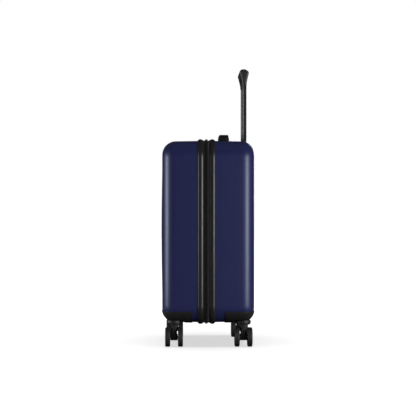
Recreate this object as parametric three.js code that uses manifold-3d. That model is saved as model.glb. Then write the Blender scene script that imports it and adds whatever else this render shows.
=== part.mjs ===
// Cabin-size hard shell suitcase on four twin-wheel spinner casters.
// Two moulded half shells meet at a zip that runs round the case in an upright plane. The front half
// opens like a door about the fabric hinge on the +X side. A two-stage telescopic handle rises from a
// socket in the top of the back half, drawn with its upper stage out and its lower stage stowed.
// Millimetres, +Z up, front towards -Y. The origin is on the floor, under the middle of the case.
import * as THREE from "three";
import { mergeVertices } from "three/addons/utils/BufferGeometryUtils.js";
import Module from "manifold-3d";

const wasm = await Module();
wasm.setup();

// ---------------------------------------------------------------- driving dimensions
const SHELL = {
  halfWidth: 175,
  halfDepth: 125,
  bottom: 63,
  top: 545,
  cornerRadius: 46, // seen from the front
  edgeRadius: 34, // between a face and the sides
  wall: 2,
};
const CLOSURE_Y = -4; // the plane where the two halves meet
const RIM_OFFSET = 13.5; // from that plane to each shell's rim
const GAP = 0.3; // between pieces that touch
const TUBE = { x: 62, y: 100.4 }; // centre of each telescopic tube
const OUTER_TUBE = { x: 26, y: 16.6, bottom: 78.5, top: 499.5 };
const MIDDLE_TUBE = { x: 22.4, y: 13, bottom: 79.5, top: 504.5 };
const INNER_TUBE = { x: 19, y: 9.6, bottom: 273, top: 711.7 };
const TUBE_WALL = { outer: 1.3, middle: 1.2, inner: 1.2 };
const SOCKET = { x: 154, y: 27.8, floor: 502, wall: 1.9, fit: 0.4, flange: 5.2 }; // handle's pocket
const GRIP = { top: 741.8, halfLength: 74, legBottom: 698, legWidth: 12.8 };
const WHEEL = { radius: 25.6, width: 13.3, spacing: 33.7, sides: 24 };
const CASTER_X = 131;
const CASTER_Y = { front: -89.5, back: 93.8 };
const TRAIL = 16; // from a caster's swivel axis to its wheel axle
const POCKET_TOP = 70; // ceiling of the recess that each caster turns in
const HANDLE_Y = 43.6; // centre line of the two carry handles
const SIDE_HANDLE_Z = 304;
const LOCK = { y: -44, z: 304, face: 3.5 };

const CORNER_STEPS = 6; // facets in a quarter turn of the case's outline
const EDGE_STEPS = 4; // facets across the rounded edge of a face

// ---------------------------------------------------------------- materials
function material(color, roughness, metalness = 0) {
  return new THREE.MeshStandardMaterial({ color, roughness, metalness });
}
const MATERIALS = {
  shell: material(0x23264c, 0.42),
  trim: material(0x1c1c1e, 0.35),
  zip: material(0x141415, 0.8),
  lining: material(0x2a2b30, 0.95),
  plastic: material(0x19191a, 0.55),
  tube: material(0x3a3b3e, 0.3, 0.9),
  steel: material(0x9a9ca0, 0.35, 1),
  tyre: material(0x202021, 0.7),
  webbing: material(0x111112, 0.9),
};

// ---------------------------------------------------------------- solids
// A closed three.js geometry as a manifold-3d solid.
function solid(geometry) {
  const bare = geometry.index ? geometry.toNonIndexed() : geometry.clone();
  bare.deleteAttribute("normal");
  bare.deleteAttribute("uv");
  const merged = mergeVertices(bare, 1e-4);
  return new wasm.Manifold(
    new wasm.Mesh({
      numProp: 3,
      vertProperties: merged.attributes.position.array,
      triVerts: new Uint32Array(merged.index.array),
    }),
  );
}

// A solid as a named mesh.
function mesh(name, made, look) {
  const { vertProperties, triVerts } = made.getMesh();
  const geometry = new THREE.BufferGeometry();
  geometry.setAttribute("position", new THREE.BufferAttribute(vertProperties, 3));
  geometry.setIndex(new THREE.BufferAttribute(triVerts, 1));
  geometry.computeVertexNormals();
  const piece = new THREE.Mesh(geometry, look);
  piece.name = name;
  return piece;
}

function box([x0, x1], [y0, y1], [z0, z1]) {
  const geometry = new THREE.BoxGeometry(x1 - x0, y1 - y0, z1 - z0);
  return solid(geometry.translate((x0 + x1) / 2, (y0 + y1) / 2, (z0 + z1) / 2));
}

// A box centred at x, y, with its size along X and Y.
function post(x, y, sizeX, sizeY, z) {
  return box([x - sizeX / 2, x + sizeX / 2], [y - sizeY / 2, y + sizeY / 2], z);
}

// An upright cylinder.
function disc(x, y, radius, [z0, z1], sides = 24) {
  const geometry = new THREE.CylinderGeometry(radius, radius, z1 - z0, sides);
  return solid(geometry.rotateX(Math.PI / 2).translate(x, y, (z0 + z1) / 2));
}

// A shape drawn in X and Z, extruded along Y from y0 to y1.
function slabAlongY(shape, [y0, y1], steps = 6) {
  const options = { depth: y1 - y0, bevelEnabled: false, curveSegments: steps };
  const geometry = new THREE.ExtrudeGeometry(shape, options);
  return solid(geometry.rotateX(Math.PI / 2).translate(0, y1, 0));
}

// A shape drawn in Y and Z, extruded along X from x0 to x1.
function slabAlongX(shape, [x0, x1], steps = 6) {
  const options = { depth: x1 - x0, bevelEnabled: false, curveSegments: steps };
  const geometry = new THREE.ExtrudeGeometry(shape, options);
  return solid(geometry.rotateX(Math.PI / 2).rotateZ(Math.PI / 2).translate(x0, 0, 0));
}

function roundedRectangle([x0, x1], [y0, y1], radius) {
  const shape = new THREE.Shape();
  shape.absarc(x1 - radius, y1 - radius, radius, 0, Math.PI / 2);
  shape.absarc(x0 + radius, y1 - radius, radius, Math.PI / 2, Math.PI);
  shape.absarc(x0 + radius, y0 + radius, radius, Math.PI, Math.PI * 1.5);
  shape.absarc(x1 - radius, y0 + radius, radius, Math.PI * 1.5, Math.PI * 2);
  return shape;
}

// The whole case as one rounded block, set in from its outer surface by inset.
function caseBody(inset) {
  const edge = SHELL.edgeRadius - inset;
  const reach = SHELL.halfWidth - SHELL.edgeRadius;
  const shape = roundedRectangle(
    [-reach, reach],
    [SHELL.bottom + SHELL.edgeRadius, SHELL.top - SHELL.edgeRadius],
    SHELL.cornerRadius - SHELL.edgeRadius,
  );
  const straight = SHELL.halfDepth - SHELL.edgeRadius;
  const geometry = new THREE.ExtrudeGeometry(shape, {
    depth: 2 * straight,
    bevelThickness: edge,
    bevelSize: edge,
    bevelSegments: EDGE_STEPS,
    curveSegments: CORNER_STEPS,
  });
  return solid(geometry.rotateX(Math.PI / 2).translate(0, straight, 0));
}

// The part of the world on one side of the closure: side -1 is the front, +1 the back.
function half(side, rimOffset) {
  const rim = CLOSURE_Y + side * rimOffset;
  const far = side * 400;
  return box([-400, 400], [Math.min(rim, far), Math.max(rim, far)], [-50, 900]);
}

// Carries a profile round the case's outline. Each point of the profile is [distance outside the
// shell's surface, Y], and the profile closes on itself.
function sweepRoundCase(profile) {
  const centreX = SHELL.halfWidth - SHELL.cornerRadius;
  const centres = [
    [centreX, SHELL.top - SHELL.cornerRadius],
    [-centreX, SHELL.top - SHELL.cornerRadius],
    [-centreX, SHELL.bottom + SHELL.cornerRadius],
    [centreX, SHELL.bottom + SHELL.cornerRadius],
  ];
  const positions = [];
  centres.forEach(([x, z], corner) => {
    for (let step = 0; step <= CORNER_STEPS; step += 1) {
      const angle = ((corner + step / CORNER_STEPS) * Math.PI) / 2;
      for (const [out, y] of profile) {
        const radius = SHELL.cornerRadius + out;
        positions.push(x + radius * Math.cos(angle), y, z + radius * Math.sin(angle));
      }
    }
  });
  const rings = 4 * (CORNER_STEPS + 1);
  const count = profile.length;
  const indices = [];
  for (let ring = 0; ring < rings; ring += 1) {
    const next = (ring + 1) % rings;
    for (let point = 0; point < count; point += 1) {
      const after = (point + 1) % count;
      const [a, b] = [ring * count + point, ring * count + after];
      const [c, d] = [next * count + after, next * count + point];
      indices.push(a, b, c, a, c, d);
    }
  }
  const geometry = new THREE.BufferGeometry();
  geometry.setAttribute("position", new THREE.Float32BufferAttribute(positions, 3));
  geometry.setIndex(indices);
  return solid(geometry);
}

// A profile given for the back half, [distance outside the shell, distance from the closure], as
// the solid for either half.
function rimPiece(side, profile) {
  const placed = profile.map(([out, along]) => [out, CLOSURE_Y + side * along]);
  return sweepRoundCase(side > 0 ? placed : placed.reverse());
}

// ---------------------------------------------------------------- shells, trims, tapes, linings
const SIDES = { front: -1, back: 1 };

const LOCK_HOLE = [
  [-190, -160],
  [LOCK.y - 12, LOCK.y + 12],
  [LOCK.z - 28, LOCK.z + 28],
];

function handleHole() {
  const around = 2 * (SOCKET.wall + SOCKET.fit);
  return post(0, TUBE.y, SOCKET.x + around, SOCKET.y + around, [480, 560]);
}

function casterHoles(y) {
  const top = POCKET_TOP + 3 + GAP;
  return disc(CASTER_X, y, 31.4, [40, top]).add(disc(-CASTER_X, y, 31.4, [40, top]));
}

function shell(name) {
  const side = SIDES[name];
  const skin = caseBody(0).subtract(caseBody(SHELL.wall)).intersect(half(side, RIM_OFFSET));
  const opened = skin.subtract(side > 0 ? handleHole() : box(...LOCK_HOLE));
  return opened.subtract(casterHoles(CASTER_Y[name]));
}

// The soft extrusion that caps each rim and stands proud of the shell.
const TRIM_PROFILE = [
  [0.6, 22.4],
  [0.6, 13.2],
  [0.9, 13.2],
  [0.9, 7.2],
  [2.0, 7.0],
  [3.6, 9.6],
  [4.4, 13.5],
  [4.6, 18],
  [3.6, 21.6],
  [1.6, 22.6],
];

// Half of the zip: a flat tape, with its row of coil standing up along the closure.
const TAPE_PROFILE = [
  [-0.6, 12.8],
  [-0.6, 0.3],
  [4.0, 0.3],
  [4.0, 1.2],
  [3.0, 2.6],
  [0.6, 3.0],
  [0.6, 12.8],
];

// Everything that a lining steps over, grown by grow: the handle channel, or the lock, and the two
// caster housings.
function liningBumps(name, grow) {
  const side = SIDES[name];
  const face = 300 * side;
  const corner = CASTER_Y[name] - side * (36 + grow);
  const across = [Math.min(corner, face), Math.max(corner, face)];
  const low = [0, 78 + grow];
  const housings = box([95 - grow, 300], across, low).add(box([-300, grow - 95], across, low));
  if (side > 0) {
    return housings.add(box([-86.5 - grow, 86.5 + grow], [82 - grow, 300], [0, 800]));
  }
  return housings.add(
    box([-300, grow - 160], [LOCK.y - 16 - grow, 0], [LOCK.z - 37 - grow, LOCK.z + 37 + grow]),
  );
}

function lining(name) {
  const fabric = 1.4;
  const inset = SHELL.wall + 0.6;
  const outer = caseBody(inset).subtract(liningBumps(name, 0));
  const inner = caseBody(inset + fabric).subtract(liningBumps(name, fabric));
  return outer.subtract(inner).intersect(half(SIDES[name], RIM_OFFSET + 1));
}

// ---------------------------------------------------------------- corner guards
// A cup over one bottom corner, with the round housing that its caster turns in.
function cornerGuard(name, handSide) {
  const side = SIDES[name];
  const inner = side > 0 ? 45 : -41;
  const face = side * (SHELL.halfDepth - 0.1);
  const across = [Math.min(inner, face), Math.max(inner, face)];
  const along = [Math.min(88 * handSide, 190 * handSide), Math.max(88 * handSide, 190 * handSide)];
  const skin = caseBody(-1.5).intersect(box(along, across, [40, 93.5])).subtract(caseBody(-GAP));
  const [x, y] = [handSide * CASTER_X, CASTER_Y[name]];
  const housing = disc(x, y, 31, [55, POCKET_TOP + 3]).intersect(caseBody(-1.5));
  return skin
    .add(housing)
    .subtract(disc(x, y, 29.5, [40, POCKET_TOP]))
    .subtract(disc(x, y, 5.6, [40, 100], 16));
}

// ---------------------------------------------------------------- casters
// Each is drawn about its own swivel axis, with its wheels trailing towards +X.
function casterFork() {
  const axleZ = wheelAxleZ();
  const bossRadius = 8.7;
  const [slim, wide, slimTop, top] = [6.5, 13.5, 46, 62]; // the neck's half widths, and their heights
  const web = new THREE.Shape();
  web.moveTo(-11, 62);
  web.lineTo(-9, 50);
  web.lineTo(TRAIL - bossRadius, axleZ + 4);
  web.absarc(TRAIL, axleZ, bossRadius, Math.PI, Math.PI * 2);
  web.lineTo(TRAIL + bossRadius, axleZ + 8);
  web.lineTo(15, 62);
  const neck = new THREE.Shape();
  neck.moveTo(-slim, 0);
  neck.lineTo(slim, 0);
  neck.lineTo(slim, slimTop);
  neck.lineTo(wide, top);
  neck.lineTo(-wide, top);
  neck.lineTo(-slim, slimTop);
  return slabAlongY(web, [-wide, wide], 6)
    .intersect(slabAlongX(neck, [-20, 40]))
    .add(rod(bossRadius, [-9.6, 9.6], 16).translate([TRAIL, 0, axleZ]))
    .add(disc(0, 0, 20.3, [60.5, POCKET_TOP - 0.6], 20))
    .add(disc(0, 0, 5, [64, 78], 12))
    .subtract(axleBore([-20, 20]));
}

// Wheels stand on one of their flats, so the axle is a flat's distance above the floor.
function wheelAxleZ() {
  return WHEEL.radius * Math.cos(Math.PI / WHEEL.sides);
}

function rod(radius, [y0, y1], sides) {
  const geometry = new THREE.CylinderGeometry(radius, radius, y1 - y0, sides);
  return solid(geometry.translate(0, (y0 + y1) / 2, 0));
}

function axleBore(span) {
  return rod(3.1, span, 12).translate([TRAIL, 0, wheelAxleZ()]);
}

// A wheel about its own centre, its hub cap towards +Y and its blind bore towards -Y.
function wheel() {
  const [r, w] = [WHEEL.radius, WHEEL.width / 2];
  const profile = [
    [0, w - 2],
    [3.1, w - 2],
    [3.1, -w],
    [r - 2, -w],
    [r, 2 - w],
    [r, w - 2],
    [r - 2, w],
    [0, w],
  ];
  const points = profile.map(([radius, y]) => new THREE.Vector2(radius, y));
  return solid(new THREE.LatheGeometry(points, WHEEL.sides, Math.PI / WHEEL.sides));
}

function caster(prefix, x, y) {
  const group = new THREE.Group();
  group.position.set(x, y, 0);
  group.add(mesh(`${prefix}_caster_fork`, casterFork(), MATERIALS.plastic));
  const axle = mesh(`${prefix}_axle`, rod(3, [-21, 21], 12), MATERIALS.steel);
  axle.position.set(TRAIL, 0, wheelAxleZ());
  group.add(axle);
  for (const [label, hand] of [
    ["a", -1],
    ["b", 1],
  ]) {
    const made = mesh(`${prefix}_wheel_${label}`, wheel(), MATERIALS.tyre);
    made.position.set(TRAIL, (hand * WHEEL.spacing) / 2, wheelAxleZ());
    made.rotation.z = hand > 0 ? 0 : Math.PI;
    group.add(made);
  }
  return group;
}

// ---------------------------------------------------------------- telescopic handle
// A straight tube with rounded corners, open at both ends.
function tube(size, wall) {
  const outline = roundedRectangle([-size.x / 2, size.x / 2], [-size.y / 2, size.y / 2], 3);
  const [insideX, insideY] = [size.x / 2 - wall, size.y / 2 - wall];
  outline.holes.push(roundedRectangle([-insideX, insideX], [-insideY, insideY], 3 - wall));
  const options = { depth: size.top - size.bottom, bevelEnabled: false, curveSegments: 2 };
  return solid(new THREE.ExtrudeGeometry(outline, options).translate(0, 0, size.bottom));
}

// The tray in the top of the back shell that the grip stows into, with a flange on the shell.
function handleSocket() {
  const around = (margin, z) => post(0, TUBE.y, SOCKET.x + 2 * margin, SOCKET.y + 2 * margin, z);
  const below = SOCKET.floor - SOCKET.wall;
  const skin = caseBody(-1.4);
  const flange = skin.intersect(around(SOCKET.flange, [below, 600])).subtract(caseBody(-GAP));
  const walls = skin.intersect(around(SOCKET.wall, [below, 560]));
  const pocket = around(0, [SOCKET.floor, 600]);
  const made = flange.add(walls).subtract(pocket);
  return [1, -1].reduce((rest, hand) => {
    return rest.subtract(post(hand * TUBE.x, TUBE.y, MIDDLE_TUBE.x + 1, MIDDLE_TUBE.y + 1, [490, 510]));
  }, made);
}

// The block at the foot of the outer tubes, standing on the shell's floor.
function handleBase() {
  const block = post(0, TUBE.y, 160, 26, [SHELL.bottom, OUTER_TUBE.bottom - GAP]);
  return block.intersect(caseBody(SHELL.wall + GAP));
}

// The trough that hides the outer tubes behind the lining.
function handleCover() {
  const outer = box([-84, 84], [84.6, 122.4], [79, 495]).intersect(caseBody(SHELL.wall + GAP));
  return outer.subtract(box([-82.2, 82.2], [86.4, 130], [70, 497]));
}

// The grip's end seen along X: narrow where it meets the tube, wide at its rounded crest.
function gripOutline() {
  const shape = new THREE.Shape();
  const halfLeg = GRIP.legWidth / 2;
  shape.moveTo(-halfLeg, GRIP.legBottom);
  shape.lineTo(halfLeg, GRIP.legBottom);
  shape.lineTo(8.8, 716);
  shape.lineTo(11.6, 731);
  shape.quadraticCurveTo(11.9, 735.6, 6.6, 739);
  shape.quadraticCurveTo(-1, GRIP.top + 1.8, -8, 739.6);
  shape.quadraticCurveTo(-13.4, 736, -13, 730.5);
  shape.lineTo(-11.2, 716);
  return shape;
}

const GRIP_UNDERSIDE = { halfLength: 49.6, top: 725.7 };

function fingerOpening() {
  const shape = roundedRectangle([-50, 50], [680, 721.5], 9);
  return slabAlongY(shape, [-30, 30], 3);
}

function gripBlank() {
  return slabAlongX(gripOutline(), [-GRIP.halfLength, GRIP.halfLength], 4).subtract(fingerOpening());
}

// The cavities for the tubes, the release button, its yoke and the rods below it.
function gripCavities() {
  const yoke = box([-68, 68], [-4, 4], [726.4, 733.6]);
  const button = box([-17.4, 17.4], [-5.9, 5.9], [726.4, 760]);
  return [1, -1].reduce((rest, hand) => {
    const tubeHole = post(hand * TUBE.x, 0, INNER_TUBE.x + 0.8, INNER_TUBE.y + 0.8, [690, 712.4]);
    return rest.add(tubeHole).add(post(hand * TUBE.x, 0, 7, 7, [700, 730]));
  }, yoke.add(button));
}

function underside(grow) {
  const reach = GRIP_UNDERSIDE.halfLength + grow;
  return box([-reach, reach], [-30, 30], [700, GRIP_UNDERSIDE.top + grow]);
}

function gripShell() {
  return gripBlank().subtract(underside(GAP)).subtract(gripCavities());
}

function gripUnderside() {
  return gripBlank().intersect(underside(0));
}

// The button in the grip's crest, with the yoke that reaches over both tubes.
function releaseButton() {
  const cap = roundedRectangle([-17, 17], [-5.5, 5.5], 4);
  const options = { depth: 12.7, bevelEnabled: false, curveSegments: 3 };
  const button = solid(new THREE.ExtrudeGeometry(cap, options).translate(0, 0, 730.3));
  return button.add(box([-66, 66], [-3.4, 3.4], [730, 733]));
}

function lockPlug() {
  const fit = TUBE_WALL.inner + 2 * GAP;
  const reach = INNER_TUBE.x / 2 - fit;
  const depth = INNER_TUBE.y / 2 - fit;
  return box([-reach, reach], [-depth, depth], [INNER_TUBE.bottom + 2, INNER_TUBE.bottom + 26]);
}

// ---------------------------------------------------------------- carry handles
// A carry handle about the middle of its tray, with +Z away from the shell. rise is the top of the
// grip, thick its thickness, and length its reach along X.
function carryTray({ rise, length }) {
  const reach = length / 2 + 9;
  const plate = roundedRectangle([-reach, reach], [-15, 15], 11);
  const options = { depth: 1.5, bevelEnabled: false, curveSegments: 4 };
  const made = solid(new THREE.ExtrudeGeometry(plate, options).translate(0, 0, GAP));
  const ends = roundedRectangle([-reach + 1, reach - 1], [-14.5, 14.5], 10);
  const wall = { depth: rise * 0.45, bevelEnabled: false, curveSegments: 4 };
  const slot = box([1 - length / 2 - 4, length / 2 + 3], [-13.4, 13.4], [1.9, 60]);
  const bosses = solid(new THREE.ExtrudeGeometry(ends, wall).translate(0, 0, 1))
    .subtract(box([20 - length / 2, length / 2 - 20], [-30, 30], [0, 60]))
    .subtract(slot);
  return made.add(bosses);
}

function carryGrip({ rise, thick, length }) {
  const reach = length / 2 + 1;
  const foot = 2.2;
  const shape = new THREE.Shape();
  shape.moveTo(-reach, foot);
  shape.lineTo(-reach, foot + thick * 0.6);
  shape.quadraticCurveTo(-reach + 14, rise, -reach + 34, rise);
  shape.lineTo(reach - 34, rise);
  shape.quadraticCurveTo(reach - 14, rise, reach, foot + thick * 0.6);
  shape.lineTo(reach, foot);
  shape.lineTo(reach - 12, foot);
  shape.quadraticCurveTo(reach - 20, rise - thick, reach - 36, rise - thick);
  shape.lineTo(-reach + 36, rise - thick);
  shape.quadraticCurveTo(-reach + 20, rise - thick, -reach + 12, foot);
  return slabAlongY(shape, [-12.8, 12.8], 5);
}

const TOP_HANDLE = { rise: 20, thick: 11, length: 168 };
const SIDE_HANDLE = { rise: 13, thick: 6, length: 168 };

function carryHandle(name, size) {
  const group = new THREE.Group();
  group.add(mesh(`${name}_handle_tray`, carryTray(size), MATERIALS.plastic));
  group.add(mesh(`${name}_carry_grip`, carryGrip(size), MATERIALS.plastic));
  return group;
}

// ---------------------------------------------------------------- lock and zip pulls
const LOCK_FACE_X = -(SHELL.halfWidth + LOCK.face);
const DIAL = { radius: 7, width: 6, pitch: 8.5, x: LOCK_FACE_X + 5.8 };
const DIAL_Z = [-1.5, -0.5, 0.5].map((place) => LOCK.z + 1.25 + place * DIAL.pitch);
const BUTTON_Z = LOCK.z + 17;

function lockHousing() {
  const around = (reach) => [LOCK.y - reach, LOCK.y + reach];
  const upright = (reach) => [LOCK.z - reach, LOCK.z + reach];
  const dialReach = DIAL.pitch + DIAL.width / 2 + 1;
  return box([LOCK_FACE_X, -SHELL.halfWidth - GAP], around(16), upright(34))
    .add(box([-SHELL.halfWidth - GAP - 0.1, -163], around(11.6), upright(27.6)))
    .subtract(box([-190, DIAL.x + 7.6], around(7.7), [DIAL_Z[1] - dialReach, DIAL_Z[1] + dialReach]))
    .subtract(box([-190, -165.4], around(5.4), [BUTTON_Z - 5.4, BUTTON_Z + 5.4]));
}

function slider() {
  const [near, far] = [SHELL.halfWidth + 4.5, SHELL.halfWidth + 7.5];
  const plate = box([-far, -near], [CLOSURE_Y - 5.5, CLOSURE_Y + 5.5], [-9, 9]);
  return plate.add(
    box([-near - 0.1, -SHELL.halfWidth - 0.9], [CLOSURE_Y - 6.2, CLOSURE_Y - 3.4], [-8, 8]),
  );
}

function pullTab() {
  const [near, far] = [SHELL.halfWidth + 5, SHELL.halfWidth + 7];
  const blank = box([-far, -near], [CLOSURE_Y - 33, CLOSURE_Y - 8], [-4.5, 4.5]);
  return blank.subtract(box([-200, -100], [CLOSURE_Y - 30, CLOSURE_Y - 24], [-2.2, 2.2]));
}

// ---------------------------------------------------------------- packing straps
// Two webbing bands that cross under a buckle, lying on a compartment's floor from y0 to y1.
function packingStraps(reachX, reachZ, [y0, y1]) {
  const length = 2 * Math.hypot(reachX, reachZ);
  const lean = Math.atan2(reachX, reachZ);
  const middle = (SHELL.top + SHELL.bottom) / 2;
  const band = (turn) => {
    const geometry = new THREE.BoxGeometry(25, y1 - y0, length).rotateY(turn);
    return solid(geometry.translate(0, (y0 + y1) / 2, middle));
  };
  const thicker = 3;
  const into = y0 > 0 ? [y0 - thicker, y1] : [y0, y1 + thicker];
  return band(lean)
    .add(band(-lean))
    .add(box([-22, 22], into, [middle - 28, middle + 28]));
}

// ---------------------------------------------------------------- assembly
const suitcase = new THREE.Group();
suitcase.name = "suitcase";

for (const name of ["front", "back"]) {
  const side = SIDES[name];
  suitcase.add(mesh(`${name}_shell`, shell(name), MATERIALS.shell));
  suitcase.add(mesh(`${name}_edge_trim`, rimPiece(side, TRIM_PROFILE), MATERIALS.trim));
  suitcase.add(mesh(`${name}_zip_tape`, rimPiece(side, TAPE_PROFILE), MATERIALS.zip));
  suitcase.add(mesh(`${name}_lining`, lining(name), MATERIALS.lining));
  for (const [hand, handSide] of [
    ["right", 1],
    ["left", -1],
  ]) {
    const place = `${name}_${hand}`;
    suitcase.add(mesh(`${place}_corner_guard`, cornerGuard(name, handSide), MATERIALS.plastic));
    suitcase.add(caster(place, handSide * CASTER_X, CASTER_Y[name]));
  }
}

// The fabric strip behind the zip on the hinge side.
const gusset = box([172.9, 174.1], [CLOSURE_Y - 13, CLOSURE_Y + 13], [130, 478]);
suitcase.add(mesh("hinge_gusset", gusset, MATERIALS.zip));

suitcase.add(mesh("front_packing_straps", packingStraps(105, 180, [-120.2, -118.8]), MATERIALS.webbing));
suitcase.add(mesh("back_packing_straps", packingStraps(62, 180, [78.6, 80]), MATERIALS.webbing));

suitcase.add(mesh("handle_socket", handleSocket(), MATERIALS.plastic));
suitcase.add(mesh("handle_base", handleBase(), MATERIALS.plastic));
suitcase.add(mesh("handle_cover", handleCover(), MATERIALS.plastic));

for (const [hand, handSide] of [
  ["right", 1],
  ["left", -1],
]) {
  const column = new THREE.Group();
  column.position.set(handSide * TUBE.x, TUBE.y, 0);
  column.add(mesh(`${hand}_outer_tube`, tube(OUTER_TUBE, TUBE_WALL.outer), MATERIALS.tube));
  column.add(mesh(`${hand}_middle_tube`, tube(MIDDLE_TUBE, TUBE_WALL.middle), MATERIALS.tube));
  column.add(mesh(`${hand}_inner_tube`, tube(INNER_TUBE, TUBE_WALL.inner), MATERIALS.tube));
  column.add(mesh(`${hand}_lock_plug`, lockPlug(), MATERIALS.plastic));
  const rodTop = 730 - GAP;
  column.add(mesh(`${hand}_release_rod`, disc(0, 0, 2, [310, rodTop], 8), MATERIALS.steel));
  suitcase.add(column);
}

const grip = new THREE.Group();
grip.position.y = TUBE.y;
grip.add(mesh("grip_shell", gripShell(), MATERIALS.plastic));
grip.add(mesh("grip_underside", gripUnderside(), MATERIALS.plastic));
grip.add(mesh("release_button", releaseButton(), MATERIALS.plastic));
suitcase.add(grip);

const topHandle = carryHandle("top", TOP_HANDLE);
topHandle.position.set(0, HANDLE_Y, SHELL.top);
suitcase.add(topHandle);

const sideHandle = carryHandle("side", SIDE_HANDLE);
sideHandle.position.set(-SHELL.halfWidth, HANDLE_Y, SIDE_HANDLE_Z);
sideHandle.rotation.y = -Math.PI / 2;
suitcase.add(sideHandle);

suitcase.add(mesh("lock_housing", lockHousing(), MATERIALS.plastic));
DIAL_Z.forEach((z, place) => {
  const span = [z - DIAL.width / 2, z + DIAL.width / 2];
  const dial = disc(DIAL.x, LOCK.y, DIAL.radius, span, 20);
  suitcase.add(mesh(`lock_dial_${place + 1}`, dial, MATERIALS.plastic));
});
const lockButton = box([LOCK_FACE_X - 1.5, -169], [LOCK.y - 5, LOCK.y + 5], [BUTTON_Z - 5, BUTTON_Z + 5]);
suitcase.add(mesh("lock_button", lockButton, MATERIALS.plastic));

for (const [name, z] of [
  ["upper", LOCK.z + 14],
  ["lower", LOCK.z - 14],
]) {
  const pull = new THREE.Group();
  pull.position.z = z;
  pull.add(mesh(`${name}_zip_slider`, slider(), MATERIALS.steel));
  pull.add(mesh(`${name}_pull_tab`, pullTab(), MATERIALS.steel));
  suitcase.add(pull);
}

export default suitcase;
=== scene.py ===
"""The hard shell suitcase as a finished visual model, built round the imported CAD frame.

Metres in Blender. Sizes below are in millimetres and pass through MM, because a suitcase's fittings are
drawn in millimetres. +Z is up, -Y is the front half and +X is the hinge side, which faces the camera.
"""

import math

import bmesh
import bpy
from mathutils import Matrix, Vector, noise


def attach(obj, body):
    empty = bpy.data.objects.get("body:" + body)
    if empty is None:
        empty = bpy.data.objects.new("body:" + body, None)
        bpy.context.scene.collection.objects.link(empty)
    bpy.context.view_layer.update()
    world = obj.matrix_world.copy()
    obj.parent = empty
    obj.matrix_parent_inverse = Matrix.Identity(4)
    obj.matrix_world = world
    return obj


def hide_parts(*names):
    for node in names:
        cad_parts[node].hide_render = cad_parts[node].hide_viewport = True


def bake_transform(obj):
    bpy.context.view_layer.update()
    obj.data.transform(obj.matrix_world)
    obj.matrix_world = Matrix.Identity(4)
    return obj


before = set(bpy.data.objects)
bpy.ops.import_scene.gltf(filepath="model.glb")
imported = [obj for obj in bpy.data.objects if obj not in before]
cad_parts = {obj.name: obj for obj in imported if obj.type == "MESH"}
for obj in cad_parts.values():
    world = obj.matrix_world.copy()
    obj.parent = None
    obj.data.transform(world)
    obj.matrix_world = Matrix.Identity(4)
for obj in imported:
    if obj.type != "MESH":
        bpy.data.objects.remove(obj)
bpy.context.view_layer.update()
MM = 0.001

# ---------------------------------------------------------------- driving dimensions (mm)
HALF_WIDTH = 175.0
CASE_BOTTOM = 63.0
CASE_TOP = 545.0
CASE_MIDDLE = (CASE_BOTTOM + CASE_TOP) / 2
HALF_HEIGHT = (CASE_TOP - CASE_BOTTOM) / 2
CORNER_RADIUS = 46.0
FACE_Y = {"front": 121.0, "back": 122.6}
FACE_CROWN = 3.8
FACE_EDGE = 36.0  # how far in from the sides the crowned face begins
EDGE_RADIUS = {"front": 36.0, "back": 33.0}
CLOSURE_Y = -4.0
RIM_OFFSET = 13.5
WALL = 2.0
LINING_GAP = 2.9  # from the shell's outside to the lining
CLOTH = 0.9
TUBE_X = 62.0
TUBE_Y = 100.4
TUBE_WALL = 1.2
MIDDLE_TUBE = (22.4, 13.0)
INNER_TUBE = (19, 9.6)
CHANNEL_DEPTH = 80.8  # the lining over the tubes' channel, from the case's middle
CASTER_X = 131.0
CASTER_Y = {"front": -89.5, "back": 93.8}
TRAIL = 16.0
FORK_BOSS = 8.7
WHEEL_RADIUS = 25.6
WHEEL_SPACING = 33.7
AXLE_Z = 25.381
WHEEL_HALF_WIDTH = 6.65
POCKET_TOP = 70.0
HOUSING_RADIUS = 31.0
GUARD_TOP = 93.5
GRIP_HALF_LENGTH = 74
HANDLE_Y = 44.4
SIDE_HANDLE_Z = 304.0
LOCK_Y = -44.0
LOCK_Z = 304.0
DIAL_X = -172.7
DIAL_PITCH = 8.5
DIALS_Z = 301.0
LOCK_BUTTON_Z = 321
PULL_Z = {"upper": 318.0, "lower": 290.0}
STRAP_REACH = 180
STRAP_HALF_WIDTH = 12.5

# ---------------------------------------------------------------- the studio (m)
CAMERA_PLACE = (3.639, -0.06, 0.367)
CAMERA_TARGET = (0, 0.0027, 0.3665)
CAMERA_LENS = 114.3
FLOOR_GLOW = 0.65  # the floor's own white, which shadows don't reach
WORLD_FILL = 0.05

SIDES = {"front": -1, "back": 1}
HANDS = {"right": 1, "left": -1}


# ---------------------------------------------------------------- mesh helpers
def new_object(name, bm, material, body, smooth_angle=35.0):
    """Links a bmesh drawn in millimetres as an object that rides on a body."""
    bmesh.ops.recalc_face_normals(bm, faces=bm.faces)
    mesh = bpy.data.meshes.new(name)
    bm.to_mesh(mesh)
    bm.free()
    mesh.transform(Matrix.Scale(MM, 4))
    obj = bpy.data.objects.new(name, mesh)
    bpy.context.scene.collection.objects.link(obj)
    obj.data.materials.append(material)
    shade(obj, smooth_angle)
    if body:
        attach(obj, body)
    return obj


def shade(obj, smooth_angle=35.0):
    obj.data.shade_smooth()
    obj.data.set_sharp_from_angle(angle=math.radians(smooth_angle))


def apply_modifiers(obj, smooth_angle=35.0):
    """Bakes the object's modifiers into its mesh."""
    depsgraph = bpy.context.evaluated_depsgraph_get()
    depsgraph.update()
    mesh = bpy.data.meshes.new_from_object(obj.evaluated_get(depsgraph))
    obj.modifiers.clear()
    obj.data = mesh
    shade(obj, smooth_angle)
    return obj


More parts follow.
